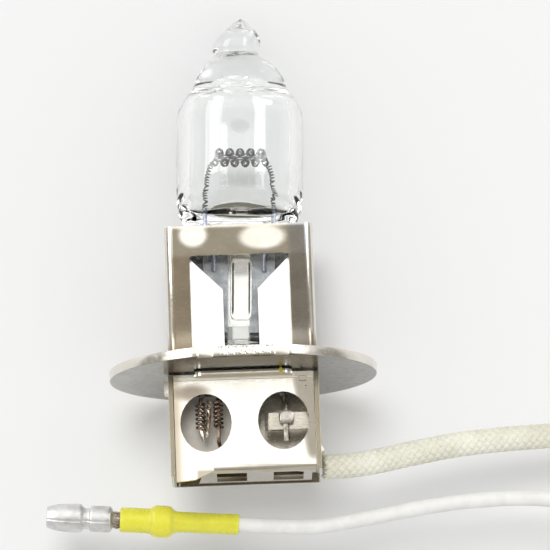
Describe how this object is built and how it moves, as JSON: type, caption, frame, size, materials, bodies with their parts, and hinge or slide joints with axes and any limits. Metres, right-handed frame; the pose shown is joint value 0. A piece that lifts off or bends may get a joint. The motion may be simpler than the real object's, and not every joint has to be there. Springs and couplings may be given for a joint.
{
  "type": "headlight bulb",
  "caption": "Halogen headlight bulb: clear quartz capsule in a pressed steel holder on a round flange, boxed base below, braided lead with a bullet terminal and sliding yellow boot.",
  "frame": {"origin": "a point on the flange's reference face, the face on the glass side, 9 mm behind the lamp's axis, so that the axis stands at y = -9 mm", "axes": "+Z along the lamp's axis towards the glass tip, +X towards the side the lead leaves, -Y towards the open window of the holder"},
  "size_m": [0.0632, 0.0213, 0.0448],
  "materials": {
    "quartz": "clear quartz, thick wall, lightly rippled at the tip and seal",
    "tungsten": "dark grey wound wire",
    "molybdenum": "blue-grey foil and wire",
    "plated_steel": "bright nickel-plated sheet with a warm tint",
    "spring_steel": "satin spring strip",
    "copper": "heat-darkened copper wire",
    "weld_metal": "dull spot-weld metal",
    "mica": "thin taupe mica card",
    "fibreglass": "cream braided glass-fibre sleeve",
    "wire_coat": "off-white wire insulation",
    "tinned_brass": "bright tin-plated brass",
    "yellow_vinyl": "soft semi-translucent yellow vinyl"
  },
  "bodies": {
    "lamp": {"glass_envelope": "quartz", "filament": "tungsten", "inner_lead_left": "tungsten", "inner_lead_right": "tungsten", "foil_left": "molybdenum", "foil_right": "molybdenum", "outer_lead_live": "molybdenum", "outer_lead_ground": "molybdenum", "holder_front": "plated_steel", "holder_rear": "plated_steel", "pinch_clamp": "spring_steel", "flange_disc": "plated_steel", "base_cover": "plated_steel", "base_housing": "plated_steel", "insulator_card": "mica", "ground_strap": "plated_steel", "weld_nugget": "weld_metal", "splice_wrap_left": "copper", "splice_wrap_right": "copper", "splice_twist": "copper", "feed_conductor": "copper", "feed_insulation": "wire_coat"},
    "lead": {"braided_sleeve": "fibreglass", "sleeve_insulation": "wire_coat", "sleeve_conductor": "copper"},
    "tail": {"tail_insulation": "wire_coat", "tail_conductor": "copper", "terminal_bullet": "tinned_brass"},
    "boot": {"terminal_boot": "yellow_vinyl"}
  },
  "joints": [
    {"name": "lead_swing", "type": "hinge", "parent": "lamp", "child": "lead", "pos_m": [0.0062, -0.0078, -0.0082], "axis": [0, 0, 1], "range_deg": [-30, 30]},
    {"name": "loop_open", "type": "hinge", "parent": "lead", "child": "tail", "pos_m": [0.0458, -0.0035, -0.0104], "axis": [0, -1, 0], "range_deg": [0, 45]},
    {"name": "boot_slide", "type": "slide", "parent": "tail", "child": "boot", "axis": [0.9972, 0, -0.075], "range_m": [0, 0.005]}
  ]
}
